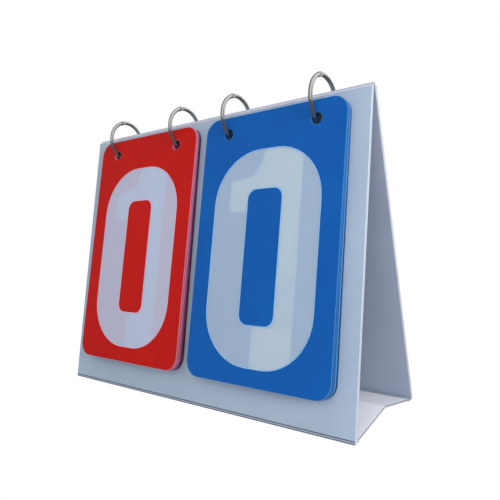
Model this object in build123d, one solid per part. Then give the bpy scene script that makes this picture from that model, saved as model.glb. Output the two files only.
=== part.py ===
from build123d import *
from math import atan2, cos, degrees, radians, sin, sqrt
import os

# Tabletop flip scoreboard: a folding easel of covered board with two piles of
# numbered leaves, each pile hung from two loose-leaf rings.
# Millimetres.  X runs along the ridge, +X to the right of someone who reads the
# front; -Y is the front; Z = 0 is the table.  The pieces are made with the ridge
# over Y = 0 and shifted at the end, so that the origin lies under the middle.

# ---- driving dimensions ------------------------------------------------------
# easel
RIDGE_FOOT_HEIGHT = 153.1    # height of the panels' top outer edges
LEAN = 11.1                  # degrees each panel leans from upright
RIDGE_HALF_WIDTH = 2.4       # ridge centre to a panel's top outer edge
RIDGE_RISE = 1.9             # the ridge strip's crown above those edges
RIDGE_SLIT = 0.1             # between the strip's two halves at the crown
BOARD_CORE = 1.5             # greyboard
PAPER = 0.2                  # covering paper on each face
FOOT_HEIGHT = 1.7            # panel's lower outer edge above the table
CORE_INSET = 0.3             # core's edges inside its paper sleeve
FOOT_TONGUE = 0.25           # foot strip's thickness where it reaches the flap
RIDGE_Y = 1.65               # ridge behind the middle of the object's depth

# base, two thin flaps that rise to a centre crease
FLAP_CORE = 0.5              # card
FLAP_PIVOT_INSET = 4.1       # flap hinge, inward from the panel's outer foot
FLAP_PIVOT_HEIGHT = 0.3
CREASE_HEIGHT = 5.7          # underside of the base at the middle
FLAP_SHORT = 5.2             # flap's card stops this far short of the crease
FLAP_START = 0.3             # flap's card starts this far from its hinge
FLAP_HINGE_GAP = 0.05        # foot strip's tongue stops this far from the hinge
FLAP_END_GAP = 0.5           # flap ends in from the panel's ends

# leaves
LEAF_COUNT = 10
LEAF_WIDTH = 86.0
LEAF_LENGTH = 137.0
LEAF_THICKNESS = 0.31
LEAF_PITCH = 0.36            # from one leaf to the next at the top
LEAF_FAN = 0.1               # degrees each leaf opens from the one behind it
LEAF_CORNER = 8.0
LEAF_TOP = 3.2               # leaf's top edge below the panel's, down the slope
LEAF_TO_PANEL = 0.4
PILE_GAP = 8.1               # between the two piles
RED_MARGIN = 10.7            # panel's left end to the red pile
BLUE_MARGIN = 9.2            # blue pile to the panel's right end

# rings and the holes that they pass through
RING_RADIUS = 12.0           # of the wire's centre line
WIRE_DIAMETER = 2.2
WIRE_SIDES = 8               # flats that stand for the wire's round section
RING_SIDE = -1.0             # rings rest towards the left of their holes
RING_DROP = 1.5              # ring centre below the panels' top outer edges
HOLE_INSET = 16.0            # hole in from the leaf's side
HOLE_DIAMETER = 6.0
LEAF_HOLE_REACH = 11.45      # ring centre to a leaf's hole, along the leaf
KNUCKLE_WIDTH = 2.5          # flattened ear round the rivet
KNUCKLE_ANGLE = 14.0         # degrees from the ring's top towards the front
RIVET_DIAMETER = 1.1
RIVET_CLEARANCE = 0.05
RIVET_PROUD = 0.12           # rivet head stands out of the ear
CLASP_LAP = 10.0             # degrees over which the halves' ends lap

# ---- values that follow ------------------------------------------------------
LEAN_SIN = sin(radians(LEAN))
LEAN_COS = cos(radians(LEAN))
BOARD = BOARD_CORE + 2 * PAPER
FLAP = FLAP_CORE + 2 * PAPER
PANEL_WIDTH = RED_MARGIN + LEAF_WIDTH + PILE_GAP + LEAF_WIDTH + BLUE_MARGIN
RED_CENTRE = -PANEL_WIDTH / 2 + RED_MARGIN + LEAF_WIDTH / 2
BLUE_CENTRE = PANEL_WIDTH / 2 - BLUE_MARGIN - LEAF_WIDTH / 2
HOLE_SPACING = LEAF_WIDTH - 2 * HOLE_INSET
PANEL_LENGTH = (RIDGE_FOOT_HEIGHT - FOOT_HEIGHT) / LEAN_COS
PANEL_FOOT_Y = RIDGE_HALF_WIDTH + PANEL_LENGTH * LEAN_SIN
RING_CENTRE_Z = RIDGE_FOOT_HEIGHT - RING_DROP
CROWN_Z = RIDGE_FOOT_HEIGHT + RIDGE_RISE
# the ring's centre, down the slope and behind the panel's outer face
RING_DOWN = RING_DROP * LEAN_COS - RIDGE_HALF_WIDTH * LEAN_SIN
RING_BEHIND = RIDGE_HALF_WIDTH * LEAN_COS + RING_DROP * LEAN_SIN
WIRE_RADIUS = WIRE_DIAMETER / 2
HOLE_CUT = 4 * BOARD         # cutters pass both faces of a board
BORE_CUT = 4 * WIRE_DIAMETER
BOARD_HOLE_DOWN = RING_DOWN + sqrt(RING_RADIUS**2 - (RING_BEHIND - BOARD / 2) ** 2)
FLAP_PIVOT_Y = PANEL_FOOT_Y - FLAP_PIVOT_INSET
FLAP_SLOPE = degrees(atan2(CREASE_HEIGHT - FLAP_PIVOT_HEIGHT, FLAP_PIVOT_Y))
FLAP_LENGTH = FLAP_PIVOT_Y / cos(radians(FLAP_SLOPE)) - FLAP_SHORT - FLAP_START
RING_X = {
    "red": (RED_CENTRE - HOLE_SPACING / 2, RED_CENTRE + HOLE_SPACING / 2),
    "blue": (BLUE_CENTRE - HOLE_SPACING / 2, BLUE_CENTRE + HOLE_SPACING / 2),
}
PILE_CENTRE = {"red": RED_CENTRE, "blue": BLUE_CENTRE}

# the front panel's outer face: X across, Y up the slope, Z out of the face
FRONT_FACE = Plane(
    origin=(0, -RIDGE_HALF_WIDTH, RIDGE_FOOT_HEIGHT),
    x_dir=(1, 0, 0),
    z_dir=(0, -LEAN_COS, LEAN_SIN),
)
RING_AXIS = Axis((0, 0, RING_CENTRE_Z), (-1, 0, 0))

# where a ring's two halves meet, and the plane across its wire there
KNUCKLE_TURN = radians(KNUCKLE_ANGLE)
KNUCKLE = (
    0,
    -RING_RADIUS * sin(KNUCKLE_TURN),
    RING_CENTRE_Z + RING_RADIUS * cos(KNUCKLE_TURN),
)
KNUCKLE_SECTION = Plane(
    origin=KNUCKLE,
    x_dir=(1, 0, 0),
    z_dir=(0, -cos(KNUCKLE_TURN), -sin(KNUCKLE_TURN)),
)


def to_rear(shape):
    """Carry a front piece to its twin's place at the rear."""
    return mirror(shape, about=Plane.XZ)


def slope_slab(width, top, bottom, outer, inner):
    """Slab on the front panel, by distances down the slope and behind its face."""
    slab = Box(width, bottom - top, inner - outer)
    centre = Location((0, -(top + bottom) / 2, -(outer + inner) / 2))
    return FRONT_FACE.location * centre * slab


def ring_holes(down, depth):
    """Cutters on the front panel for the rings of both piles."""
    cutters = []
    for places in RING_X.values():
        for place in places:
            cutter = Cylinder(HOLE_DIAMETER / 2, depth)
            cutters.append(FRONT_FACE.location * Location((place, -down, 0)) * cutter)
    return cutters


def panel_core():
    core = slope_slab(
        PANEL_WIDTH - 2 * CORE_INSET,
        CORE_INSET,
        PANEL_LENGTH - CORE_INSET,
        PAPER,
        BOARD - PAPER,
    )
    return core - ring_holes(BOARD_HOLE_DOWN, HOLE_CUT)


def panel_cover():
    """The covering paper, a closed sleeve over the core."""
    sleeve = slope_slab(PANEL_WIDTH, 0, PANEL_LENGTH, 0, BOARD)
    hollow = slope_slab(
        PANEL_WIDTH - 2 * CORE_INSET,
        CORE_INSET,
        PANEL_LENGTH - CORE_INSET,
        PAPER,
        BOARD - PAPER,
    )
    return sleeve - hollow - ring_holes(BOARD_HOLE_DOWN, HOLE_CUT)


def side_profile(points, width):
    """Prism along X from points in the YZ plane."""
    face = make_face(Polyline(*[(0, y, z) for y, z in points], close=True))
    return extrude(face, amount=width / 2, dir=(1, 0, 0), both=True)


def ridge_strip():
    """Front half of the folded spine, from the panel's end up to the crown."""
    inner_y = -RIDGE_HALF_WIDTH + BOARD * LEAN_COS
    inner_z = RIDGE_FOOT_HEIGHT - BOARD * LEAN_SIN
    return side_profile(
        [
            (-RIDGE_HALF_WIDTH, RIDGE_FOOT_HEIGHT),
            (inner_y, inner_z),
            (-RIDGE_SLIT / 2, CROWN_Z - RIDGE_SLIT / 2),
        ],
        PANEL_WIDTH,
    )


def foot_strip():
    """Folded paper hinge from under the panel's lower end to the flap."""
    outer_y = -PANEL_FOOT_Y
    inner_y = outer_y + BOARD * LEAN_COS
    inner_z = FOOT_HEIGHT - BOARD * LEAN_SIN
    tongue_y = -FLAP_PIVOT_Y - FLAP_HINGE_GAP
    return side_profile(
        [
            (outer_y, 0),
            (tongue_y, 0),
            (tongue_y, FOOT_TONGUE),
            (inner_y, FOOT_TONGUE),
            (inner_y, inner_z),
            (outer_y, FOOT_HEIGHT),
        ],
        PANEL_WIDTH,
    )


def flap_slab(margin, low, high):
    """Slab of the front flap, by heights above its underside."""
    length = FLAP_LENGTH - 2 * margin
    slab = Box(PANEL_WIDTH - 2 * FLAP_END_GAP - 2 * margin, length, high - low)
    middle = FLAP_START + FLAP_LENGTH / 2
    pivot = Location((0, -FLAP_PIVOT_Y, FLAP_PIVOT_HEIGHT), (FLAP_SLOPE, 0, 0))
    return pivot * Location((0, middle, (low + high) / 2)) * slab


def flap_core():
    return flap_slab(CORE_INSET, PAPER, FLAP - PAPER)


def flap_cover():
    return flap_slab(0, 0, FLAP) - flap_core()


def leaf(colour, number):
    """One leaf of a pile; number 0 is the front one."""
    behind = LEAF_COUNT - 1 - number
    back = LEAF_TO_PANEL + behind * LEAF_PITCH
    outline = RectangleRounded(LEAF_WIDTH, LEAF_LENGTH, LEAF_CORNER)
    hole_row = -(RING_DOWN + LEAF_HOLE_REACH)
    outline = Pos(0, -(LEAF_TOP + LEAF_LENGTH / 2)) * outline
    for side in (-1, 1):
        outline -= Pos(side * HOLE_SPACING / 2, hole_row) * Circle(HOLE_DIAMETER / 2)
    sheet = extrude(outline, amount=LEAF_THICKNESS)
    sheet = FRONT_FACE.location * Location((PILE_CENTRE[colour], 0, back)) * sheet
    return sheet.rotate(RING_AXIS, behind * LEAF_FAN)


def across_knuckle(radius, length, offset=0):
    """Cylinder through a ring's knuckle, along the rivet."""
    drum = Cylinder(radius, length, rotation=(0, 90, 0))
    return Location(KNUCKLE) * Location((offset, 0, 0)) * drum


def half_ring(side):
    """Half of a ring's wire, from the knuckle round to the clasp.

    At the clasp the wire's near half stops short and its other half laps the twin.
    """
    outline = RegularPolygon(WIRE_RADIUS, WIRE_SIDES)
    lapping = outline & Pos(side * WIRE_RADIUS, 0) * Rectangle(WIRE_DIAMETER, BORE_CUT)
    towards = Axis((0, 0, RING_CENTRE_Z), (side, 0, 0))
    wire = revolve(KNUCKLE_SECTION * outline, towards, 180 - CLASP_LAP / 2)
    wire += revolve(KNUCKLE_SECTION * lapping, towards, 180 + CLASP_LAP / 2)
    # at the rivet each half is flattened to half of the wire's thickness
    ear = across_knuckle(KNUCKLE_WIDTH / 2, WIRE_RADIUS, side * WIRE_RADIUS / 2)
    other = across_knuckle(KNUCKLE_WIDTH / 2, WIRE_RADIUS, -side * WIRE_RADIUS / 2)
    bore = across_knuckle(RIVET_DIAMETER / 2 + RIVET_CLEARANCE, BORE_CUT)
    return wire - other + ear - bore


def rivet():
    """Rivet that joins the two halves of one ring."""
    return across_knuckle(RIVET_DIAMETER / 2, WIRE_DIAMETER + 2 * RIVET_PROUD)


def ring():
    """The three pieces of one loose-leaf ring, round the middle of the ridge."""
    return {"front_half": half_ring(1), "rear_half": half_ring(-1), "rivet": rivet()}


def easel():
    pieces = {
        "board": panel_core(),
        "cover": panel_cover(),
        "ridge_strip": ridge_strip(),
        "foot_strip": foot_strip(),
        "flap_board": flap_core(),
        "flap_cover": flap_cover(),
    }
    named = {}
    for name, shape in pieces.items():
        named[f"front_{name}"] = shape
        named[f"rear_{name}"] = to_rear(shape)
    return named


def piles():
    named = {}
    for colour, places in RING_X.items():
        for number in range(LEAF_COUNT):
            named[f"{colour}_leaf_{number}"] = leaf(colour, number)
        for label, place in zip(("left", "right"), places):
            for piece, shape in ring().items():
                named[f"{colour}_{label}_ring_{piece}"] = Pos(place + RING_SIDE, 0, 0) * shape
    return named


os.makedirs("parts", exist_ok=True)
for node, shape in {**easel(), **piles()}.items():
    export_step(Pos(0, RIDGE_Y, 0) * shape, f"parts/{node}.step")
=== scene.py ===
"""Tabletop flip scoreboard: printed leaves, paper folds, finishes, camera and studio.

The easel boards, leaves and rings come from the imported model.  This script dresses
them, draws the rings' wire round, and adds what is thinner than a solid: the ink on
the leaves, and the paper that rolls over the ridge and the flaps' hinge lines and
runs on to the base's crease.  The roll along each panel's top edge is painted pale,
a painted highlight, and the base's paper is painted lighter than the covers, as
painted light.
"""

import logging
import math
from abc import ABC, abstractmethod
from dataclasses import dataclass, field
from enum import Enum
from typing import Any
import bmesh
import bpy
from mathutils import Matrix, Vector


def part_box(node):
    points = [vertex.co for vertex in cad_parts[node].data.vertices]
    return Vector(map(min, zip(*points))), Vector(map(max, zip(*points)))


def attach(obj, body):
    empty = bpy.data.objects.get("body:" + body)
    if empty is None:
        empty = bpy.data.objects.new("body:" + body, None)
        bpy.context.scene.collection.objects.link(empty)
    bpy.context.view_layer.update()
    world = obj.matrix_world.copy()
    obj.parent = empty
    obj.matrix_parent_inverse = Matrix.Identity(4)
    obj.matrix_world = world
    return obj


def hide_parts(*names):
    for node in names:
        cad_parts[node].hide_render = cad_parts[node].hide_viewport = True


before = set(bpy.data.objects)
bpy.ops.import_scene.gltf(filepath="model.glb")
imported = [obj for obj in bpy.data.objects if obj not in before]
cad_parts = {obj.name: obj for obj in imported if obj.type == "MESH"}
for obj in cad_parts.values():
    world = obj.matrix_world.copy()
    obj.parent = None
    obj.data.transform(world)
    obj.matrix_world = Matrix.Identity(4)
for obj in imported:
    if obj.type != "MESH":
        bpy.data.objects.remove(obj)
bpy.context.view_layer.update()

LOG = logging.getLogger("scoreboard")

# one millimetre, in metres
MM = 0.001

# the lines that the easel, the piles and the rings share, in millimetres
RED_CENTRE = -46.3
BLUE_CENTRE = 47.8
RIDGE_Y = 1.65
RIDGE_HALF = 2.4
TOP_HEIGHT = 153.1
RING_HEIGHT = 151.6

# a face looks along an axis when that much of its normal lies on it
FACING = 0.9
# a smooth piece keeps the edges that turn more sharply than this
SHARP = math.radians(40)
QUARTER = math.radians(90)
# straight steps along a rounded corner
CORNER_STEPS = 10

Colour = tuple[float, float, float, float]
Place = tuple[float, float, float]
Run = tuple[tuple[float, float], ...]
Corner = tuple[float, float, float]
Loop = list[Corner]
Tree = bpy.types.NodeTree
Node = bpy.types.Node
Socket = bpy.types.NodeSocket
Material = bpy.types.Material
Mesh = bpy.types.Mesh
Shape = bmesh.types.BMesh

WHITE: Colour = (1.0, 1.0, 1.0, 1.0)


def linear(hex_colour: str) -> Colour:
    """Turn an sRGB hex colour into linear light, by sRGB's own curve.

    Args:
        hex_colour: six hex digits, without a hash sign.

    Returns:
        Red, green, blue and a full alpha.
    """
    channels = []
    for start in (0, 2, 4):
        value = int(hex_colour[start : start + 2], 16) / 255
        if value <= 0.04045:
            channels.append(value / 12.92)
        else:
            channels.append(((value + 0.055) / 1.055) ** 2.4)
    return (channels[0], channels[1], channels[2], 1.0)


def add_node(tree: Tree, kind: str, inputs: dict[Any, Any] | None = None, **settings: Any) -> Node:
    """Add a node, set it and link it.

    Args:
        tree: node tree that gets the node.
        kind: the node's type name.
        inputs: socket name or number, with a value or an output to link.
        **settings: the node's own properties.

    Returns:
        The new node.
    """
    node = tree.nodes.new(kind)
    for name, value in settings.items():
        setattr(node, name, value)
    for socket, value in (inputs or {}).items():
        if isinstance(value, Socket):
            tree.links.new(value, node.inputs[socket])
        else:
            node.inputs[socket].default_value = value
    return node


def set_stops(ramp: Node, stops: tuple[tuple[float, Colour], ...]) -> None:
    """Place the stops of a colour ramp.

    Args:
        ramp: the ramp's node.
        stops: places from 0 to 1 in rising order, each with its colour.
    """
    elements = ramp.color_ramp.elements
    while len(elements) < len(stops):
        elements.new(1.0)
    for element, (position, colour) in zip(elements, stops):
        element.position = position
        element.color = colour


class Axis(Enum):
    """An axis that a colour goes by, with its socket's name."""

    ALONG_RIDGE = "X"
    UPRIGHT = "Z"


def with_ends(tree: Tree, faces: Socket, ends: str, axis: Axis = Axis.ALONG_RIDGE) -> Socket:
    """Give the faces that look along one axis their own colour.

    Args:
        tree: the material's node tree.
        faces: colour of all the other faces.
        ends: sRGB hex colour of those that look along the axis.
        axis: the axis.

    Returns:
        The colour for the whole piece.
    """
    normal = add_node(tree, "ShaderNodeTexCoord").outputs["Normal"]
    axes = add_node(tree, "ShaderNodeSeparateXYZ", {"Vector": normal})
    along = add_node(tree, "ShaderNodeMath", {0: axes.outputs[axis.value]}, operation="ABSOLUTE")
    is_end = add_node(
        tree, "ShaderNodeMath", {0: along.outputs["Value"], 1: FACING}, operation="GREATER_THAN"
    )
    mix = add_node(
        tree,
        "ShaderNodeMix",
        {"Factor": is_end.outputs["Value"], 6: faces, 7: linear(ends)},
        data_type="RGBA",
    )
    return mix.outputs[2]


def by_ray(tree: Tree, lighting: Socket, mirrored: Socket, seen: Socket) -> Socket:
    """Join what lights the object, what its gloss mirrors and what the camera sees.

    Args:
        tree: node tree of the floor or the surround.
        lighting: shader that sends soft light back to the object.
        mirrored: shader that reflections show.
        seen: shader that the camera sees.

    Returns:
        The joined shader.
    """
    ray = add_node(tree, "ShaderNodeLightPath")
    shown = lighting
    for kind, other in (("Is Glossy Ray", mirrored), ("Is Camera Ray", seen)):
        mix = add_node(tree, "ShaderNodeMixShader", {0: ray.outputs[kind], 1: shown, 2: other})
        shown = mix.outputs["Shader"]
    return shown


@dataclass(frozen=True)
class Grain:
    """A fine relief, such as paper fibres or the peel of cured ink.

    Real ones are about a tenth of a millimetre across or finer, so each is drawn as
    coarse as it needs to show.
    """

    across_mm: float
    depth_mm: float
    strength: float
    detail: float

    def lay(self, tree: Tree, place: Socket) -> tuple[Socket, Socket]:
        """Lay the relief over a surface.

        Args:
            tree: the material's node tree.
            place: the coordinates that it follows.

        Returns:
            Its height, from 0 to 1, and the surface's normal as it bends it.
        """
        noise = add_node(
            tree,
            "ShaderNodeTexNoise",
            {"Vector": place, "Scale": 1 / (self.across_mm * MM), "Detail": self.detail},
        )
        height = noise.outputs["Fac"]
        bump = add_node(
            tree,
            "ShaderNodeBump",
            {"Height": height, "Distance": self.depth_mm * MM, "Strength": self.strength},
        )
        return height, bump.outputs["Normal"]


@dataclass(frozen=True)
class Finish(ABC):
    """What a surface is and how it was made, which its name says."""

    name: str

    def build(self) -> Material:
        """Make the material.

        Returns:
            The material, with all its nodes.
        """
        material = bpy.data.materials.new(self.name)
        material.use_nodes = True
        tree = material.node_tree
        tree.nodes.clear()
        shader = add_node(tree, "ShaderNodeBsdfPrincipled", self.paint(tree))
        add_node(tree, "ShaderNodeOutputMaterial", {"Surface": self.surface(shader)})
        return material

    @abstractmethod
    def paint(self, tree: Tree) -> dict[str, Any]:
        """Lay the finish's nodes and return the shader's inputs."""

    def surface(self, shader: Node) -> Socket:
        """Give the surface that the shader makes."""
        return shader.outputs["BSDF"]


@dataclass(frozen=True)
class LaminatedPaper(Finish):
    """Covering paper, printed plain and matt laminated, pulled tight over board.

    The eye sees a soft sheen, a faint mottling from the glue and board below, and
    fine fibres that run one way.  Faces that look down, into the easel, take a darker tint that is
    painted shade.
    """

    light: str
    dark: str
    ends: str
    # faces that look down are multiplied by this tint: painted shade inside the easel
    inside_painted_shade: str = "ffffff"
    looks_down: float = -0.1
    roughness: float = 0.42
    refraction: float = 1.48
    mottle_mm: float = 24.0
    mottle_detail: float = 3.0
    fibres: Grain = Grain(across_mm=0.5, depth_mm=0.005, strength=0.6, detail=4.0)
    fibre_run: Place = (1.0, 0.3, 0.3)
    fibre_share: float = 0.25
    dark_stop: float = 0.42
    light_stop: float = 0.82

    def paint(self, tree: Tree) -> dict[str, Any]:
        """Lay the mottled, fibrous paper.

        Args:
            tree: the material's node tree.

        Returns:
            The shader's inputs.
        """
        place = add_node(tree, "ShaderNodeTexCoord").outputs["Object"]
        mottle = add_node(
            tree,
            "ShaderNodeTexNoise",
            {"Vector": place, "Scale": 1 / (self.mottle_mm * MM), "Detail": self.mottle_detail},
        )
        along = add_node(tree, "ShaderNodeMapping", {"Vector": place, "Scale": self.fibre_run})
        fibre, normal = self.fibres.lay(tree, along.outputs["Vector"])
        both = add_node(
            tree,
            "ShaderNodeMath",
            {0: fibre, 1: self.fibre_share, 2: mottle.outputs["Fac"]},
            operation="MULTIPLY_ADD",
        )
        ramp = add_node(tree, "ShaderNodeValToRGB", {"Fac": both.outputs["Value"]})
        dark, light = linear(self.dark), linear(self.light)
        set_stops(ramp, ((self.dark_stop, dark), (self.light_stop, light)))
        # faces that look down take painted shade
        colour = with_ends(tree, self.with_painted_inside_shade(tree, ramp.outputs["Color"]), self.ends)
        return {
            "Base Color": colour,
            "Normal": normal,
            "Roughness": self.roughness,
            "IOR": self.refraction,
        }

    def with_painted_inside_shade(self, tree: Tree, faces: Socket) -> Socket:
        """Tint the faces that look down, into the easel, with painted shade.

        Args:
            tree: the material's node tree.
            faces: the paper's colour.

        Returns:
            The colour, with painted shade on its inside.
        """
        normal = add_node(tree, "ShaderNodeTexCoord").outputs["Normal"]
        axes = add_node(tree, "ShaderNodeSeparateXYZ", {"Vector": normal})
        is_inside = add_node(
            tree,
            "ShaderNodeMath",
            {0: axes.outputs["Z"], 1: self.looks_down},
            operation="LESS_THAN",
        )
        mix = add_node(
            tree,
            "ShaderNodeMix",
            {"Factor": is_inside.outputs["Value"], 6: faces, 7: linear(self.inside_painted_shade)},
            data_type="RGBA",
            blend_type="MULTIPLY",
        )
        return mix.outputs[2]


@dataclass(frozen=True)
class CreasedHinge(Finish):
    """Paper hinge folded under a panel: a pale band between two creases darkened with painted
    shade.
    """

    band: str
    crease: str
    ends: str
    inside: str
    height_mm: float = 1.7
    painted_shade_reach: float = 0.24
    band_start: float = 0.38
    roughness: float = 0.5
    refraction: float = 1.48
    fibres: Grain = Grain(across_mm=0.6, depth_mm=0.01, strength=0.5, detail=3.0)

    def paint(self, tree: Tree) -> dict[str, Any]:
        """Lay the band and its creases' painted shade, by height above the table.

        Args:
            tree: the material's node tree.

        Returns:
            The shader's inputs.
        """
        place = add_node(tree, "ShaderNodeTexCoord").outputs["Object"]
        axes = add_node(tree, "ShaderNodeSeparateXYZ", {"Vector": place})
        height = add_node(
            tree,
            "ShaderNodeMapRange",
            {"Value": axes.outputs["Z"], "From Max": self.height_mm * MM},
        )
        ramp = add_node(tree, "ShaderNodeValToRGB", {"Fac": height.outputs["Result"]})
        # the crease colour is painted shade: under the panel's edge at the top, at the table at the
        # bottom
        crease, band = linear(self.crease), linear(self.band)
        stops = (
            (0.0, crease),
            (self.painted_shade_reach, crease),
            (self.band_start, band),
            (1 - self.band_start, band),
            (1 - self.painted_shade_reach, crease),
            (1.0, crease),
        )
        set_stops(ramp, stops)
        outside = with_ends(tree, ramp.outputs["Color"], self.inside, Axis.UPRIGHT)
        _, normal = self.fibres.lay(tree, place)
        return {
            "Base Color": with_ends(tree, outside, self.ends),
            "Normal": normal,
            "Roughness": self.roughness,
            "IOR": self.refraction,
        }


@dataclass(frozen=True)
class Greyboard(Finish):
    """Greyboard core, pressed from waste paper: matt, speckled and warm grey."""

    light: str
    dark: str
    speck_mm: float = 0.6
    speck_detail: float = 6.0
    dark_stop: float = 0.35
    light_stop: float = 0.65
    roughness: float = 0.9

    def paint(self, tree: Tree) -> dict[str, Any]:
        """Lay the specks.

        Args:
            tree: the material's node tree.

        Returns:
            The shader's inputs.
        """
        place = add_node(tree, "ShaderNodeTexCoord").outputs["Object"]
        speck = add_node(
            tree,
            "ShaderNodeTexNoise",
            {"Vector": place, "Scale": 1 / (self.speck_mm * MM), "Detail": self.speck_detail},
        )
        ramp = add_node(tree, "ShaderNodeValToRGB", {"Fac": speck.outputs["Fac"]})
        dark, light = linear(self.dark), linear(self.light)
        set_stops(ramp, ((self.dark_stop, dark), (self.light_stop, light)))
        return {"Base Color": ramp.outputs["Color"], "Roughness": self.roughness}


@dataclass(frozen=True)
class FrostedSheet(Finish):
    """Frosted polypropylene sheet, extruded and die cut.

    The eye sees a milky film that lets the next leaf show faintly, and cut edges
    that carry the pile's own colour, with painted highlight and shade.
    """

    film: str
    # the cut edges' colour, with painted highlight and shade
    edge: str
    centre_x_mm: float
    opacity: float
    window_half_mm: float = 37.0
    window_top_mm: float = 134.0
    roughness: float = 0.38
    refraction: float = 1.49
    grain: Grain = Grain(across_mm=0.35, depth_mm=0.004, strength=0.5, detail=2.0)

    def paint(self, tree: Tree) -> dict[str, Any]:
        """Lay the milky window and the coloured border.

        Args:
            tree: the material's node tree.

        Returns:
            The shader's inputs.
        """
        place = add_node(tree, "ShaderNodeTexCoord").outputs["Object"]
        axes = add_node(tree, "ShaderNodeSeparateXYZ", {"Vector": place})
        across = add_node(
            tree,
            "ShaderNodeMath",
            {0: axes.outputs["X"], 1: self.centre_x_mm * MM},
            operation="SUBTRACT",
        )
        away = add_node(tree, "ShaderNodeMath", {0: across.outputs["Value"]}, operation="ABSOLUTE")
        limits = (
            (away.outputs["Value"], self.window_half_mm),
            (axes.outputs["Z"], self.window_top_mm),
        )
        outside, above = (
            add_node(tree, "ShaderNodeMath", {0: value, 1: limit * MM}, operation="GREATER_THAN")
            for value, limit in limits
        )
        border = add_node(
            tree,
            "ShaderNodeMath",
            {0: outside.outputs["Value"], 1: above.outputs["Value"]},
            operation="MAXIMUM",
        )
        blend = add_node(
            tree,
            "ShaderNodeMix",
            {"Factor": border.outputs["Value"], 6: linear(self.film), 7: linear(self.edge)},
            data_type="RGBA",
        )
        # only the window under the numeral lets the leaf behind show
        solid = add_node(
            tree,
            "ShaderNodeMapRange",
            {"Value": border.outputs["Value"], "To Min": self.opacity, "To Max": 1.0},
        )
        _, normal = self.grain.lay(tree, place)
        return {
            "Base Color": blend.outputs[2],
            "Alpha": solid.outputs["Result"],
            "Normal": normal,
            "Roughness": self.roughness,
            "IOR": self.refraction,
        }


@dataclass(frozen=True)
class ScreenInk(Finish):
    """Screen-printed ink, cured: even colour, satin, with the mesh's faint orange peel."""

    light: str
    dark: str
    roughness: float = 0.42
    refraction: float = 1.5
    gloss: float = 0.15
    cloud_mm: float = 30.0
    cloud_detail: float = 2.0
    peel: Grain = Grain(across_mm=0.8, depth_mm=0.004, strength=0.4, detail=1.0)

    def paint(self, tree: Tree) -> dict[str, Any]:
        """Lay the ink's slow clouds and its peel.

        Args:
            tree: the material's node tree.

        Returns:
            The shader's inputs.
        """
        place = add_node(tree, "ShaderNodeTexCoord").outputs["Object"]
        cloud = add_node(
            tree,
            "ShaderNodeTexNoise",
            {"Vector": place, "Scale": 1 / (self.cloud_mm * MM), "Detail": self.cloud_detail},
        )
        colour = add_node(
            tree,
            "ShaderNodeMix",
            {"Factor": cloud.outputs["Fac"], 6: linear(self.dark), 7: linear(self.light)},
            data_type="RGBA",
        )
        _, normal = self.peel.lay(tree, place)
        return {
            "Base Color": colour.outputs[2],
            "Normal": normal,
            "Roughness": self.roughness,
            "IOR": self.refraction,
            "Specular IOR Level": self.gloss,
        }


@dataclass(frozen=True)
class NickelPlate(Finish):
    """Nickel-plated steel wire, drawn and barrel polished: bright, with hairline streaks.

    The streaks are a few hundredths of a millimetre wide, and drawn coarser to show.
    """

    colour: str
    roughness: float
    streak_mm: float = 0.7
    streak_detail: float = 5.0
    smoothest: float = 0.7
    roughest: float = 1.5

    def paint(self, tree: Tree) -> dict[str, Any]:
        """Lay the streaks, as changes of the polish.

        Args:
            tree: the material's node tree.

        Returns:
            The shader's inputs.
        """
        place = add_node(tree, "ShaderNodeTexCoord").outputs["Object"]
        streak = add_node(
            tree,
            "ShaderNodeTexNoise",
            {"Vector": place, "Scale": 1 / (self.streak_mm * MM), "Detail": self.streak_detail},
        )
        polish = add_node(
            tree,
            "ShaderNodeMapRange",
            {
                "Value": streak.outputs["Fac"],
                "To Min": self.roughness * self.smoothest,
                "To Max": self.roughness * self.roughest,
            },
        )
        return {
            "Base Color": linear(self.colour),
            "Metallic": 1.0,
            "Roughness": polish.outputs["Result"],
        }


@dataclass(frozen=True)
class StudioFloor(Finish):
    """Painted seamless floor, matt and pale.

    The camera sees it as bright as the surround behind it, as in a product shot, and
    shiny metal mirrors it as a dark board, which keeps the wire's outline.
    """

    colour: str
    mirrored: float
    roughness: float = 0.7

    def paint(self, tree: Tree) -> dict[str, Any]:
        """Give the plain paint's values."""
        return {"Base Color": linear(self.colour), "Roughness": self.roughness}

    def surface(self, shader: Node) -> Socket:
        """Lay the three ways in which the floor shows.

        Args:
            shader: the Principled shader.

        Returns:
            The floor as it lights, as it is mirrored and as it is seen, joined.
        """
        tree = shader.id_data
        board, glow = (
            add_node(tree, "ShaderNodeEmission", {"Color": WHITE, "Strength": strength})
            for strength in (self.mirrored, 1.0)
        )
        return by_ray(tree, shader.outputs["BSDF"], board.outputs[0], glow.outputs[0])


def dress(node: str, material: Material) -> None:
    """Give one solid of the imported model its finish.

    Args:
        node: the solid's name.
        material: the finish.
    """
    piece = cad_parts[node]
    piece.data.materials.clear()
    piece.data.materials.append(material)


def moved_corner(before: Corner, corner: Corner, after: Corner, outward: float) -> Corner:
    """Move a corner so that both its edges shift sideways.

    Args:
        before: the corner before it.
        corner: the corner that moves, with its radius.
        after: the corner after it.
        outward: how far each edge shifts to the left of its direction.

    Returns:
        The moved corner, with its radius grown or shrunk to stay concentric.
    """
    least_radius = 0.05
    here = Vector(corner[:2])
    arriving = (here - Vector(before[:2])).normalized()
    leaving = (Vector(after[:2]) - here).normalized()
    left_in = Vector((-arriving.y, arriving.x))
    left_out = Vector((-leaving.y, leaving.x))
    shift = (left_in + left_out) / (1 + left_in.dot(left_out))
    turn = arriving.cross(leaving)
    radius = max(corner[2] - math.copysign(outward, turn), least_radius)
    place = here + shift * outward
    return (place.x, place.y, radius)


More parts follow.
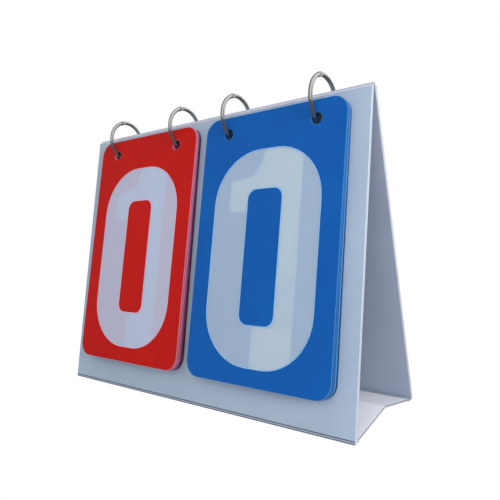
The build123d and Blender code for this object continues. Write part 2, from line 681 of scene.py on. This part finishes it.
def grown(loop: Loop, by: float) -> Loop:
    """Grow a clockwise loop by a distance; a negative one shrinks it."""
    count = len(loop)
    return [moved_corner(loop[i - 1], loop[i], loop[(i + 1) % count], by) for i in range(count)]


def box_loop(left: float, top: float, right: float, bottom: float, radius: float) -> Loop:
    """Clockwise rounded rectangle; Y points up."""
    corners = ((left, top), (right, top), (right, bottom), (left, bottom))
    return [(x, y, radius) for x, y in corners]


def circle_loop(x: float, y: float, radius: float) -> Loop:
    """Clockwise circle, as a square with its corners all but rounded right off."""
    return box_loop(x - radius, y + radius, x + radius, y - radius, radius * 0.9999)


def add_rounded_spline(curve: bpy.types.Curve, loop: Loop) -> None:
    """Add a closed spline with rounded corners to a flat curve, in millimetres.

    Args:
        curve: the curve that gets the spline.
        loop: its corners, each with its radius.
    """
    least_turn = 0.01
    spline = curve.splines.new("BEZIER")
    spline.bezier_points.add(2 * len(loop) - 1)
    spline.use_cyclic_u = True
    for i, (x, y, radius) in enumerate(loop):
        here = Vector((x, y, 0))
        arriving = (here - Vector((*loop[i - 1][:2], 0))).normalized()
        leaving = (Vector((*loop[(i + 1) % len(loop)][:2], 0)) - here).normalized()
        half_turn = max(arriving.angle(leaving), least_turn) / 2
        reach = radius * math.tan(half_turn)
        handle = 4 / 3 * math.tan(half_turn / 2) * radius
        ends = ((-arriving, arriving), (leaving, -leaving))
        for j, (side, towards) in enumerate(ends):
            point = spline.bezier_points[2 * i + j]
            point.handle_left_type = point.handle_right_type = "FREE"
            point.co = here + side * reach
            curved = point.co + towards * handle
            point.handle_left = point.co if j == 0 else curved
            point.handle_right = curved if j == 0 else point.co


def flat_sheet(name: str, loops: list[Loop], depth_mm: float, place: Matrix) -> Mesh:
    """Make a thin closed sheet from nested outlines.

    Args:
        name: the mesh's name.
        loops: outlines in millimetres; each one inside another cuts or fills again.
        depth_mm: the sheet's thickness, centred on its plane.
        place: from the sheet's plane, in millimetres, to the object's frame.

    Returns:
        The mesh, with its place in its vertices.
    """
    curve = bpy.data.curves.new(name, "CURVE")
    curve.dimensions = "2D"
    curve.fill_mode = "BOTH"
    curve.resolution_u = CORNER_STEPS
    curve.extrude = depth_mm / 2
    for loop in loops:
        add_rounded_spline(curve, loop)
    holder = bpy.data.objects.new(name, curve)
    bpy.context.scene.collection.objects.link(holder)
    bpy.context.view_layer.update()
    mesh = bpy.data.meshes.new_from_object(holder)
    bpy.data.objects.remove(holder)
    bpy.data.curves.remove(curve)
    mesh.transform(Matrix.Scale(MM, 4) @ place)
    mesh.name = name
    return mesh


def as_mesh(name: str, shape: Shape) -> Mesh:
    """Turn a bmesh into a mesh, and free it.

    Args:
        name: the mesh's name.
        shape: the bmesh.

    Returns:
        The mesh.
    """
    mesh = bpy.data.meshes.new(name)
    shape.to_mesh(mesh)
    shape.free()
    return mesh


def as_smooth_mesh(name: str, shape: Shape) -> Mesh:
    """Turn a bmesh in millimetres into a smooth mesh in metres, with its rims sharp.

    Args:
        name: the mesh's name.
        shape: the bmesh, which is freed.

    Returns:
        The mesh.
    """
    mesh = as_mesh(name, shape)
    mesh.transform(Matrix.Scale(MM, 4))
    mesh.shade_smooth()
    mesh.set_sharp_from_angle(angle=SHARP)
    return mesh


def stand(name: str, mesh: Mesh, material: Material) -> bpy.types.Object:
    """Put a mesh in the scene under a name, with one material.

    Args:
        name: the piece's name.
        mesh: its mesh, with its place in its vertices.
        material: its finish.

    Returns:
        The piece.
    """
    mesh.materials.clear()
    mesh.materials.append(material)
    piece = bpy.data.objects.new(name, mesh)
    bpy.context.scene.collection.objects.link(piece)
    return piece


@dataclass(frozen=True)
class SlopeFrame:
    """The front panel's outer face, shared by all that lies on it, in millimetres."""

    lean: float = math.radians(11.1)

    def face(self, x: float, out: float) -> Matrix:
        """Place on the face: X across, Y up the slope, Z out of it.

        Args:
            x: place along the ridge.
            out: height above the face.

        Returns:
            The transform, in millimetres.
        """
        across = Vector((1, 0, 0))
        up_slope = Vector((0, math.sin(self.lean), math.cos(self.lean)))
        outward = Vector((0, -math.cos(self.lean), math.sin(self.lean)))
        turn = Matrix((across, up_slope, outward)).transposed().to_4x4()
        origin = Matrix.Translation((x, RIDGE_Y - RIDGE_HALF, TOP_HEIGHT))
        return origin @ turn @ Matrix.Translation((0, 0, out))

    def about_rings(self, degrees: float) -> Matrix:
        """Turn about the rings' common axis, forwards and up.

        Args:
            degrees: how far to turn.

        Returns:
            The transform, in millimetres.
        """
        centre = Vector((0, RIDGE_Y, RING_HEIGHT))
        turn = Matrix.Rotation(math.radians(degrees), 4, Vector((-1, 0, 0)))
        return Matrix.Translation(centre) @ turn @ Matrix.Translation(-centre)


# the numerals' outlines, outer one first, on the grid that Numerals describes
BLOCK_NUMERALS = {
    0: "a0s d0s d5s a5s, b1i c1i c4i b4i",
    2: "a0s d0s d3s b3i b4i d4e d5e a5e a2s c2i c1i b1i bhe ahe",
    3: "a0s d0s d5s a5s ate bte b4i c4i c3i b3e b2e c2i c1i b1i bhe ahe",
    4: "a0e b0e b2i c2i c0e d0e d5e c5e c3i a3s",
    5: "a0e d0e d1e b1i b2i d2s d5s a5s ate bte b4i c4i c3i a3e",
    6: "a0s d0s dhe che c1i b1i b2i d2s d5s a5s, b3i c3i c4i b4i",
    8: "a0s d0s d5s a5s, b1i c1i c2i b2i, b3i c3i c4i b4i",
    9: "a0s d0s d5s a5s ate bte b4i c4i c3i a3s, b1i c1i c2i b2i",
}


@dataclass(frozen=True)
class Numerals:
    """Block numerals of one width, drawn with rounded shoulders, in millimetres.

    X runs from the numeral's middle, and Y down from its top is negative.  All but 1
    and 7 lie on a grid, where a corner is a column, a row and a radius.
    Columns a and d are the stems' outer sides, and b and c their inner ones.
    Rows 0 and 1 bound the top bar, 2 and 3 the middle bar and 4 and 5 the bottom bar,
    and an upper stub ends at row h and a lower one at row t.
    Radius s is a shoulder's, i an inner corner's and e a stroke's end.
    """

    half: float = 32.0
    height: float = 107.6
    stem: float = 21.3
    bar: float = 19.8
    shoulder: float = 27.0
    inner: float = 4.6
    end: float = 1.6
    upper_stub: float = 1.6
    lower_stub: float = 0.6
    neck: float = 1.25

    def loops(self, digit: int) -> list[Loop]:
        """Outlines of one digit.

        Args:
            digit: 0 to 9.

        Returns:
            The outer outline first, then its counters.
        """
        if digit == 1:
            return [self.one()]
        if digit == 7:
            return [self.seven()]
        return [self.on_grid(corners) for corners in BLOCK_NUMERALS[digit].split(", ")]

    def on_grid(self, corners: str) -> Loop:
        """Read an outline off the grid.

        Args:
            corners: its corners, clockwise.

        Returns:
            The outline.
        """
        slot = self.half - self.stem
        foot = self.bar - self.height
        columns = {"a": -self.half, "b": -slot, "c": slot, "d": self.half}
        rows = {
            "0": 0.0,
            "1": -self.bar,
            "2": -(self.height - self.bar) / 2,
            "3": -(self.height + self.bar) / 2,
            "4": foot,
            "5": -self.height,
            "h": -self.upper_stub * self.bar,
            "t": foot + self.lower_stub * self.bar,
        }
        radii = {"s": self.shoulder, "i": self.inner, "e": self.end}
        return [
            (columns[column], rows[row], radii[radius]) for column, row, radius in corners.split()
        ]

    def one(self) -> Loop:
        """Outline of 1, a stem with a curved flag.

        Returns:
            The outline.
        """
        left, right, flag, flag_foot = -1.9, 20.7, -22.2, -30.7
        return [
            (flag, -14.9, self.end),
            (-5.5, -13.6, 11.0),
            (-1.2, 0, self.end),
            (right, 0, self.end),
            (right, -self.height, self.end),
            (left, -self.height, self.end),
            (left, flag_foot, self.inner),
            (flag, flag_foot, self.end),
        ]

    def seven(self) -> Loop:
        """Outline of 7, with a leaning stem.

        Returns:
            The outline.
        """
        foot_left, foot_right, armpit = -19.0, 4.0, 7.0
        return [
            (-self.half, 0, self.end),
            (self.half, 0, self.end),
            (self.half, -self.neck * self.bar, self.inner),
            (foot_right, -self.height, self.end),
            (foot_left, -self.height, self.end),
            (armpit, -self.bar, self.inner),
            (-self.half, -self.bar, self.end),
        ]


class PrintPass(Enum):
    """The two passes of a leaf's print, with how far each lies above the sheet."""

    UNDERPRINT = ("underprint", 0.008)
    COLOUR = ("colour", 0.020)

    def __init__(self, label: str, lift_mm: float) -> None:
        """Keep the word for the piece's name and the height above the sheet."""
        self.label = label
        self.lift_mm = lift_mm


@dataclass
class LeafPile:
    """Ten numbered leaves of one colour, in millimetres and degrees."""

    colour: str
    centre_x: float
    ink: ScreenInk
    underprint: ScreenInk
    sheets: tuple[FrostedSheet, ...]
    slope: SlopeFrame = field(default_factory=SlopeFrame)
    numerals: Numerals = field(default_factory=Numerals)
    count: int = 10
    width: float = 86.0
    length: float = 137.0
    thickness: float = 0.31
    pitch: float = 0.36
    fan: float = 0.1
    corner: float = 8.0
    top: float = 3.2
    to_panel: float = 0.4
    hole_spacing: float = 54.0
    hole_down: float = 12.46
    hole_radius: float = 3.0
    numeral_down: float = 23.6
    print_depth: float = 0.008
    edge_margin: float = 0.15
    # width of the pale ring round each numeral: a painted highlight
    painted_highlight_rim: float = 0.38

    def build(self) -> None:
        """Dress the leaves and print them."""
        sheets = [sheet.build() for sheet in self.sheets]
        inks = {PrintPass.COLOUR: self.ink.build(), PrintPass.UNDERPRINT: self.underprint.build()}
        for number in range(self.count):
            node = f"{self.colour}_leaf_{number}"
            dress(node, sheets[number])
            # the sheet is thin and milky, and light passes it to the print behind
            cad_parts[node].visible_shadow = False
            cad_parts[node].visible_diffuse = False
            for printing, ink in inks.items():
                self.print_leaf(number, printing, ink)

    def outlines(self, digit: int, printing: PrintPass) -> list[Loop]:
        """Outlines of one pass: the leaf's edge, its holes and the open numeral.

        Args:
            digit: the numeral that stays clear of ink.
            printing: which pass is drawn.

        Returns:
            The outlines, in millimetres from the panel's top edge.
        """
        # the colour pass stands back from the numeral, and the pale underprint shows there as a
        # ring: a painted highlight on the numeral's edge
        painted_highlight_rim = self.painted_highlight_rim if printing is PrintPass.COLOUR else 0.0
        half = self.width / 2
        clear = self.hole_radius + self.edge_margin
        sheet = box_loop(-half, -self.top, half, -self.top - self.length, self.corner)
        loops = [grown(sheet, -self.edge_margin)]
        for side in (-1, 1):
            loops.append(circle_loop(side * self.hole_spacing / 2, -self.hole_down, clear))
        outer, *counters = self.numerals.loops(digit)
        loops.append(self.lowered(grown(outer, painted_highlight_rim)))
        loops.extend(self.lowered(grown(counter, -painted_highlight_rim)) for counter in counters)
        return loops

    def lowered(self, loop: Loop) -> Loop:
        """Bring a numeral's loop down to its place on the leaf."""
        return [(x, y - self.numeral_down, radius) for x, y, radius in loop]

    def print_leaf(self, number: int, printing: PrintPass, ink: Material) -> None:
        """Print both faces of one leaf in one pass.

        Args:
            number: 0 is the front leaf, and the numeral that it carries.
            printing: which pass is laid.
            ink: the finish.
        """
        name = f"{self.colour}_{printing.label}_{number}"
        behind = self.count - 1 - number
        back = self.to_panel + behind * self.pitch
        fanned = self.slope.about_rings(behind * self.fan)
        loops = self.outlines(number, printing)
        both = bmesh.new()
        for out in (back - printing.lift_mm, back + self.thickness + printing.lift_mm):
            place = fanned @ self.slope.face(self.centre_x, out)
            face = flat_sheet(name, loops, self.print_depth, place)
            both.from_mesh(face)
            bpy.data.meshes.remove(face)
        piece = stand(name, as_mesh(name, both), ink)
        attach(piece, f"{self.colour}_leaf_{number}")
        LOG.info("%s rides on leaf %d", name, number)


class Side(Enum):
    """The easel's two halves, with the sign of each one's Y, seen from the ridge."""

    FRONT = ("front", -1.0)
    REAR = ("rear", 1.0)

    def __init__(self, label: str, sign: float) -> None:
        """Keep the word for the names of pieces, nodes and bodies, and the sign."""
        self.label = label
        self.sign = sign


@dataclass
class Easel:
    """The folding A-frame of covered board, in millimetres."""

    paper: LaminatedPaper
    rear_paper: LaminatedPaper
    # painted lighter than the covers: painted light on the base
    base_paper_painted_lighter: LaminatedPaper
    hinge_paper: LaminatedPaper
    fold_paper_painted_highlight: LaminatedPaper
    foot_paper: CreasedHinge
    board: Greyboard
    pivot_away: float = 28.0
    pivot_height: float = 0.3
    crease_height: float = 5.7
    flap_short: float = 5.2
    flap_depth: float = 0.9
    lap: float = 0.1
    fold_radius: float = 0.3
    fold_segments: int = 16

    def build(self) -> None:
        """Dress the boards, roll the paper's folds and carry the base on to its crease."""
        covers = {Side.FRONT: self.paper.build(), Side.REAR: self.rear_paper.build()}
        base = self.base_paper_painted_lighter.build()
        finishes = {"flap_cover": base, "ridge_strip": self.hinge_paper.build()}
        painted_highlight_paper = self.fold_paper_painted_highlight.build()
        finishes["foot_strip"] = self.foot_paper.build()
        finishes["board"] = finishes["flap_board"] = self.board.build()
        pivot = (self.pivot_away, self.pivot_height)
        for side, cover in covers.items():
            for part, finish in {"cover": cover, **finishes}.items():
                dress(f"{side.label}_{part}", finish)
            self.crease_strip(side, base)
            # the roll along the panel's top edge is painted pale, a painted highlight line, and the
            # flap turns on its foot
            self.rolled_fold(side, "ridge_fold", "cover", (RIDGE_HALF, TOP_HEIGHT), painted_highlight_paper)
            self.rolled_fold(side, "foot_fold", "flap_cover", pivot, base)

    def rolled_fold(
        self, side: Side, label: str, along: str, line: tuple[float, float], paper: Material
    ) -> None:
        """Lay a slim roll of folded paper along the ridge's direction.

        Args:
            side: the half that it belongs to.
            label: words for the piece's name.
            along: the side's node whose length it has.
            line: its distance from the ridge and its height above the table.
            paper: the finish.
        """
        name = f"{side.label}_{label}"
        away, height = line
        low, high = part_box(f"{side.label}_{along}")
        place = ((low.x + high.x) / 2 / MM, RIDGE_Y + side.sign * away, height)
        shape = bmesh.new()
        bmesh.ops.create_cone(
            shape,
            cap_ends=True,
            segments=self.fold_segments,
            radius1=self.fold_radius,
            radius2=self.fold_radius,
            depth=(high.x - low.x) / MM,
            matrix=Matrix.Translation(place) @ Matrix.Rotation(QUARTER, 4, "Y"),
        )
        piece = stand(name, as_smooth_mesh(name, shape), paper)
        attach(piece, f"{side.label}_panel")
        LOG.info("%s laid", name)

    def crease_strip(self, side: Side, paper: Material) -> None:
        """Carry one flap's paper, flush with both its faces, to the base's crease.

        Args:
            side: the half that it belongs to.
            paper: the finish.
        """
        name = f"{side.label}_crease_paper"
        low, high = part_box(f"{side.label}_flap_cover")
        slope = math.atan2(self.crease_height - self.pivot_height, self.pivot_away)
        down = Vector((0, side.sign * math.cos(slope), -math.sin(slope)))
        up = Vector((0, side.sign * math.sin(slope), math.cos(slope)))
        crease = Vector((0, RIDGE_Y, self.crease_height))
        flap_end = crease + down * (self.flap_short + self.lap)
        corners = (
            flap_end,
            crease,
            crease + Vector((0, 0, self.flap_depth / math.cos(slope))),
            flap_end + up * self.flap_depth,
        )
        shape = bmesh.new()
        for corner in corners:
            shape.verts.new((low.x, corner.y * MM, corner.z * MM))
        end = shape.faces.new(shape.verts)
        run = bmesh.ops.extrude_face_region(shape, geom=[end])
        moved = [part for part in run["geom"] if isinstance(part, bmesh.types.BMVert)]
        bmesh.ops.translate(shape, verts=moved, vec=(high.x - low.x, 0, 0))
        bmesh.ops.recalc_face_normals(shape, faces=shape.faces)
        piece = stand(name, as_mesh(name, shape), paper)
        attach(piece, f"{side.label}_flap")
        LOG.info("%s laid", name)


@dataclass
class RingSet:
    """Four loose-leaf rings, each of two half rings and a rivet, in millimetres."""

    wire: NickelPlate
    rivet: NickelPlate
    radius: float = 12.0
    wire_radius: float = 1.1
    knuckle_radius: float = 1.25
    knuckle_turn: float = math.radians(14.0)
    clasp_lap: float = math.radians(10.0)
    ear_chamfer: float = 0.12
    ear_rim: float = math.radians(60)
    ear_sides: int = 32
    wire_sides: int = 24
    wire_steps: int = 44
    least_steps: int = 3

    def build(self) -> None:
        """Make the round wire of every ring and dress its rivet."""
        wire = self.wire.build()
        rivet = self.rivet.build()
        for pile in ("red", "blue"):
            for place in ("left", "right"):
                ring = f"{pile}_{place}_ring"
                for side in Side:
                    node = f"{ring}_{side.label}_half"
                    piece = stand(f"{node}_wire", self.half_ring(node, side), wire)
                    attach(piece, f"{pile}_rings")
                    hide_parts(node)
                dress(f"{ring}_rivet", rivet)
                LOG.info("%s made", ring)

    def knuckle(self, x: float) -> Matrix:
        """Place across the wire at the rivet: X along the rivet, Y outward.

        Args:
            x: the ring's place along the ridge.

        Returns:
            The transform, in millimetres.
        """
        turn = Matrix.Rotation(self.knuckle_turn, 4, "X")
        stand_up = Matrix.Rotation(QUARTER, 4, "X")
        centre = Matrix.Translation((x, RIDGE_Y, RING_HEIGHT))
        return centre @ turn @ Matrix.Translation((0, 0, self.radius)) @ stand_up

    def half_ring(self, node: str, side: Side) -> Mesh:
        """Make half of a ring's wire, from the knuckle round to the clasp.

        Args:
            node: the solid that it stands for.
            side: the half of the easel that it comes down on.

        Returns:
            The mesh, in its place.
        """
        low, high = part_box(node)
        x = (low.x + high.x) / 2 / MM
        axis = Vector((-side.sign, 0, 0))
        to_clasp = math.pi - self.clasp_lap / 2
        shape = bmesh.new()
        self.wire_run(shape, x, axis, 0.0, to_clasp, False)
        self.wire_run(shape, x, axis, to_clasp, self.clasp_lap, True)
        self.ear(shape, x, axis)
        bmesh.ops.recalc_face_normals(shape, faces=shape.faces)
        return as_smooth_mesh(f"{node}_wire", shape)

    def wire_run(
        self, shape: Shape, x: float, axis: Vector, start: float, turn: float, split: bool
    ) -> None:
        """Spin a stretch of wire round the ring.

        Args:
            shape: where it is made.
            x: the ring's place along the ridge.
            axis: the axis that it turns about, from the knuckle down to its side.
            start: angle from the knuckle at which it begins.
            turn: angle that it runs through.
            split: True for the half section that laps at the clasp.
        """
        disc = bmesh.ops.create_circle(
            shape, cap_ends=True, segments=self.wire_sides, radius=self.wire_radius
        )
        section = disc["verts"][0].link_faces[0]
        if split:
            parts = [section, *section.edges, *section.verts]
            cut = bmesh.ops.bisect_plane(
                shape, geom=parts, plane_co=(0, 0, 0), plane_no=axis, clear_inner=True
            )
            (section,) = (part for part in cut["geom"] if isinstance(part, bmesh.types.BMFace))
        corners = list(section.verts)
        bmesh.ops.transform(shape, matrix=self.knuckle(x), verts=corners)
        centre = Vector((x, RIDGE_Y, RING_HEIGHT))
        bmesh.ops.rotate(shape, cent=centre, matrix=Matrix.Rotation(start, 3, axis), verts=corners)
        steps = max(self.least_steps, round(self.wire_steps * turn / math.pi))
        bmesh.ops.spin(shape, geom=[section], cent=centre, axis=axis, angle=turn, steps=steps)

    def ear(self, shape: Shape, x: float, axis: Vector) -> None:
        """Add the flat round ear that the rivet passes through.

        Args:
            shape: where it is made.
            x: the ring's place along the ridge.
            axis: the axis that the half turns about, on whose side the ear lies.
        """
        disc = bmesh.ops.create_cone(
            shape,
            cap_ends=True,
            segments=self.ear_sides,
            radius1=self.knuckle_radius,
            radius2=self.knuckle_radius,
            depth=self.wire_radius,
        )
        edges = dict.fromkeys(edge for vert in disc["verts"] for edge in vert.link_edges)
        across = Matrix.Rotation(QUARTER, 4, "Y")
        aside = Matrix.Translation(axis * self.wire_radius / 2)
        bmesh.ops.transform(shape, matrix=self.knuckle(x) @ aside @ across, verts=disc["verts"])
        bmesh.ops.bevel(
            shape,
            geom=[edge for edge in edges if edge.calc_face_angle(0) > self.ear_rim],
            offset=self.ear_chamfer,
            offset_type="OFFSET",
            segments=2,
            profile=0.5,
            affect="EDGES",
            material=-1,
        )


@dataclass(frozen=True)
class SoftBox:
    """A square soft box that faces the object, in metres and watts."""

    name: str
    place: Place
    size: float
    power: float
    aim: Place = (0.0, 0.0, 0.08)

    def hang(self) -> None:
        """Hang it, out of reflections: metal mirrors the surround's boards in its stead."""
        lamp = bpy.data.lights.new(self.name, "AREA")
        lamp.size = self.size
        lamp.energy = self.power
        holder = bpy.data.objects.new(self.name, lamp)
        holder.visible_glossy = False
        holder.location = self.place
        holder.rotation_mode = "QUATERNION"
        towards = Vector(self.aim) - Vector(self.place)
        holder.rotation_quaternion = towards.to_track_quat("-Z", "Y")
        bpy.context.scene.collection.objects.link(holder)


@dataclass
class Studio:
    """Camera, floor, soft light and pale surroundings.

    The camera's place is in millimetres, the nearest point that it sees and the
    floor's size in metres.  The rows and columns are the surround's white boards and
    dark gaps as shiny metal mirrors them, from the lowest and the leftmost: places
    from 0 to 1, each with its brightness.
    """

    camera_place: Place = (199.1, -219.15, 95.6)
    camera_turn: float = math.radians(38.40)
    camera_drop: float = math.radians(3.24)
    camera_roll: float = math.radians(2.93)
    focal_px: float = 515.2
    image_px: float = 500.0
    sensor_mm: float = 36.0
    nearest: float = 0.01
    floor_size: float = 8.0
    floor: StudioFloor = StudioFloor("pale_floor", colour="cbcfd7", mirrored=0.12)
    sky_strength: float = 0.67
    boxes: tuple[SoftBox, ...] = (
        SoftBox("side", (0.80, -0.15, 0.26), size=0.45, power=6.4),
        SoftBox("front", (0.25, -0.95, 0.65), size=0.6, power=2.5),
    )
    rows: Run = ((0.0, 0.30), (0.40, 0.16), (0.47, 0.30), (0.54, 0.85), (0.75, 1.0))
    columns: Run = ((0.0, 0.06), (0.34, 0.06), (0.52, 0.70), (0.66, 1.0), (0.86, 1.0), (0.96, 0.35))
    columns_share: float = 0.8

    def build(self) -> None:
        """Set up the studio."""
        self.place_camera()
        self.lay_floor()
        self.light()
        view = bpy.context.scene.view_settings
        view.view_transform = "Standard"
        view.look = "None"
        LOG.info("studio set")

    def place_camera(self) -> None:
        """Stand the camera where the photograph was taken from."""
        turn, drop, roll = self.camera_turn, self.camera_drop, self.camera_roll
        level = Vector((math.cos(turn), math.sin(turn), 0))
        ahead = Vector((-math.sin(turn), math.cos(turn), 0))
        forward = math.cos(drop) * ahead - Vector((0, 0, math.sin(drop)))
        down = forward.cross(level)
        right = math.cos(roll) * level + math.sin(roll) * down
        up = math.sin(roll) * level - math.cos(roll) * down
        pose = Matrix((right, up, -forward)).transposed().to_4x4()
        pose.translation = Vector(self.camera_place) * MM
        lens = bpy.data.cameras.new("camera")
        lens.sensor_fit = "HORIZONTAL"
        lens.sensor_width = self.sensor_mm
        lens.lens = self.sensor_mm * self.focal_px / self.image_px
        lens.clip_start = self.nearest
        camera = bpy.data.objects.new("camera", lens)
        camera.matrix_world = pose
        bpy.context.scene.collection.objects.link(camera)
        bpy.context.scene.camera = camera

    def lay_floor(self) -> None:
        """Lay a plain pale floor."""
        shape = bmesh.new()
        bmesh.ops.create_grid(shape, x_segments=1, y_segments=1, size=self.floor_size / 2)
        floor = stand("floor", as_mesh("floor", shape), self.floor.build())

    def light(self) -> None:
        """Light the object with a white surround and soft boxes."""
        world = bpy.data.worlds.new("surround")
        bpy.context.scene.world = world
        world.use_nodes = True
        tree = world.node_tree
        tree.nodes.clear()
        lighting, mirrored, seen = (
            add_node(tree, "ShaderNodeBackground", {"Color": colour, "Strength": strength})
            for colour, strength in (
                (WHITE, self.sky_strength),
                (self.room(tree), 1.0),
                (WHITE, 1.0),
            )
        )
        surface = by_ray(tree, lighting.outputs[0], mirrored.outputs[0], seen.outputs[0])
        add_node(tree, "ShaderNodeOutputWorld", {"Surface": surface})
        for box in self.boxes:
            box.hang()

    def room(self, tree: Tree) -> Socket:
        """Draw what shiny metal mirrors: white boards with dark gaps between them.

        Args:
            tree: the surround's node tree.

        Returns:
            The colour, by the direction looked in.
        """
        towards = add_node(tree, "ShaderNodeTexCoord").outputs["Generated"]
        axes = add_node(tree, "ShaderNodeSeparateXYZ", {"Vector": towards})
        both = add_node(
            tree,
            "ShaderNodeMix",
            {
                "Factor": self.columns_share,
                6: self.boards(tree, axes.outputs["Z"], self.rows),
                7: self.boards(tree, axes.outputs["X"], self.columns),
            },
            data_type="RGBA",
            blend_type="MULTIPLY",
        )
        return both.outputs[2]

    def boards(self, tree: Tree, axis: Socket, run: Run) -> Socket:
        """Shade a run of white boards and dark gaps along one axis.

        Args:
            tree: the surround's node tree.
            axis: the direction's part on the axis, from -1 to 1.
            run: places along the run from 0 to 1, each with its brightness.

        Returns:
            The run's brightness.
        """
        place = add_node(tree, "ShaderNodeMapRange", {"Value": axis, "From Min": -1.0})
        ramp = add_node(tree, "ShaderNodeValToRGB", {"Fac": place.outputs["Result"]})
        set_stops(ramp, tuple((stop, (value, value, value, 1.0)) for stop, value in run))
        return ramp.outputs["Color"]


def sheets_with_painted_edge_light(
    colour: str, centre: float, film: str, opacity: float, edges: str
) -> tuple[FrostedSheet, ...]:
    """List one pile's sheets, whose cut edges show light and dark in turn: the pile's own colour
    with painted highlight and shade, darkening towards the rear leaf.

    Args:
        colour: the pile's colour name.
        centre: the pile's middle along the ridge, in millimetres.
        film: sRGB hex colour of the milky film.
        opacity: how much of what lies behind one face it hides.
        edges: sRGB hex colours of the cut edges, with painted highlight and shade, from the front
            leaf to the rear one.

    Returns:
        One finish for each leaf.
    """
    return tuple(
        FrostedSheet(f"{colour}_frosted_sheet_{turn}", film, edge, centre, opacity)
        for turn, edge in enumerate(edges.split())
    )


def scoreboard() -> list[Easel | LeafPile | RingSet | Studio]:
    """List the object's sub-assemblies, with their finishes, and the studio.

    Returns:
        All of them, in the order in which they are built.
    """
    # the cut edges' colours hold painted highlight and shade, darkening towards the rear leaf
    red_edge_colours_with_painted_light = "c47888 b4607c a85678 c490ac 94446a a86890 7e3862 6a2c58 4a1c40 30142e"
    red = LeafPile(
        colour="red",
        centre_x=RED_CENTRE,
        ink=ScreenInk("red_screen_ink", light="c2150d", dark="b00e0b"),
        # the underprint's pale colour shows as the ring round each numeral, a painted highlight
        underprint=ScreenInk("red_underprint", light="dbb4c8", dark="cfa8bf"),
        sheets=sheets_with_painted_edge_light("red", RED_CENTRE, "b3bfd6", 0.65, red_edge_colours_with_painted_light),
    )
    blue_edge_colours_with_painted_light = "3d80b8 175592 14508a 2868a4 124a80 1b5796 56a0d4 124a86 0b3468 06193c"
    blue = LeafPile(
        colour="blue",
        centre_x=BLUE_CENTRE,
        ink=ScreenInk("blue_screen_ink", light="095fad", dark="084f9e"),
        underprint=ScreenInk("blue_underprint", light="94c2ec", dark="86b6e2"),
        sheets=sheets_with_painted_edge_light("blue", BLUE_CENTRE, "afc1cf", 0.5, blue_edge_colours_with_painted_light),
    )
    # the covers' inside tint is painted shade on the faces inside the easel
    cover = {"light": "a9bacd", "dark": "a1b2c6", "inside_painted_shade": "faeff0"}
    easel = Easel(
        paper=LaminatedPaper("covering_paper", ends="a5b0bb", **cover),
        rear_paper=LaminatedPaper("rear_covering_paper", ends="9fa4b0", **cover),
        # the base's paper is the covers' paper painted lighter, as painted light, and its dark end
        # faces are painted shade
        base_paper_painted_lighter=LaminatedPaper("base_paper_painted_lighter", light="f4f5fa", dark="e9ebf3", ends="848791"),
        hinge_paper=LaminatedPaper("hinge_paper", light="bfc0d2", dark="b2b4c7", ends="a0a2b2"),
        # the roll along each panel's top edge is painted pale: a painted highlight line
        fold_paper_painted_highlight=LaminatedPaper("fold_paper_painted_highlight", light="e2e5ee", dark="d6dae6", ends="a0a2b2"),
        # the foot paper's crease colour is painted shade under the panel and at the table
        foot_paper=CreasedHinge(
            "foot_paper", band="a9b3c4", crease="4c5866", ends="b4b7c2", inside="dfe2ea"
        ),
        board=Greyboard("greyboard", light="8d8b85", dark="6c6a66"),
    )
    rings = RingSet(
        wire=NickelPlate("nickel_wire", colour="c9cbcc", roughness=0.12),
        rivet=NickelPlate("nickel_rivet", colour="8f9092", roughness=0.3),
    )
    return [easel, red, blue, rings, Studio()]


def main() -> None:
    """Build everything."""
    logging.basicConfig(level=logging.INFO, format="%(name)s: %(message)s")
    for assembly in scoreboard():
        assembly.build()
        LOG.info("%s built", type(assembly).__name__)


if __name__ == "__main__":
    main()
